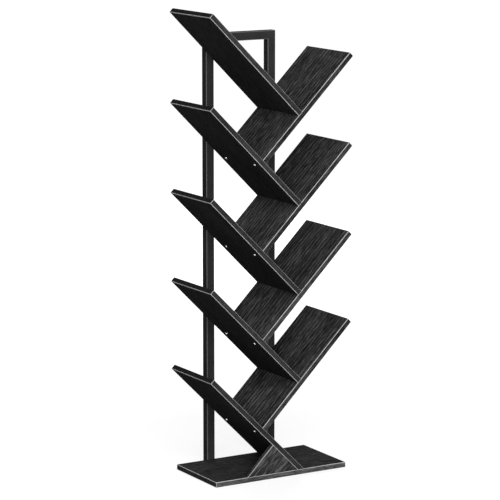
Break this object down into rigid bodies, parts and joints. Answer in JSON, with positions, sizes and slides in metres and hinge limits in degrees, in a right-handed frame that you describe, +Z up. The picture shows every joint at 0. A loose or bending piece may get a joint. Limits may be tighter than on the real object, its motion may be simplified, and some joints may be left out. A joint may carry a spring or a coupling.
{
  "type": "tree bookshelf",
  "caption": "Free-standing tree shaped bookshelf: sloping boards branch left and right from a zigzag trunk on a flat base, held by a rear frame of square steel tube.",
  "frame": {"origin": "on the floor, in the middle of the whole shelf's box", "axes": "+X to the right seen from the front, +Y to the back, +Z up"},
  "size_m": [0.4596, 0.2526, 1.3179],
  "materials": {
    "black_laminate": "black wood-grain laminate on particle board, satin",
    "black_powder_coat": "black powder coat, fine texture, satin",
    "bright_zinc": "bright zinc plate",
    "black_plastic": "moulded black, matt"
  },
  "bodies": {
    "root": {"base_board": "black_laminate", "left_board_1": "black_laminate", "left_board_2": "black_laminate", "left_board_3": "black_laminate", "left_board_4": "black_laminate", "left_board_5": "black_laminate", "right_board_1": "black_laminate", "right_board_2": "black_laminate", "right_board_3": "black_laminate", "right_board_4": "black_laminate", "front_gusset": "black_laminate", "left_upright": "black_powder_coat", "right_upright": "black_powder_coat", "top_rail": "black_powder_coat", "left_foot_plug": "black_plastic", "right_foot_plug": "black_plastic", "right_board_screws": "bright_zinc", "left_board_screws": "bright_zinc", "foot_screws": "bright_zinc", "gusset_base_screws": "bright_zinc", "gusset_board_screw": "bright_zinc", "left_frame_screws": "bright_zinc", "right_frame_screws": "bright_zinc", "base_frame_screws": "bright_zinc"}
  },
  "joints": []
}
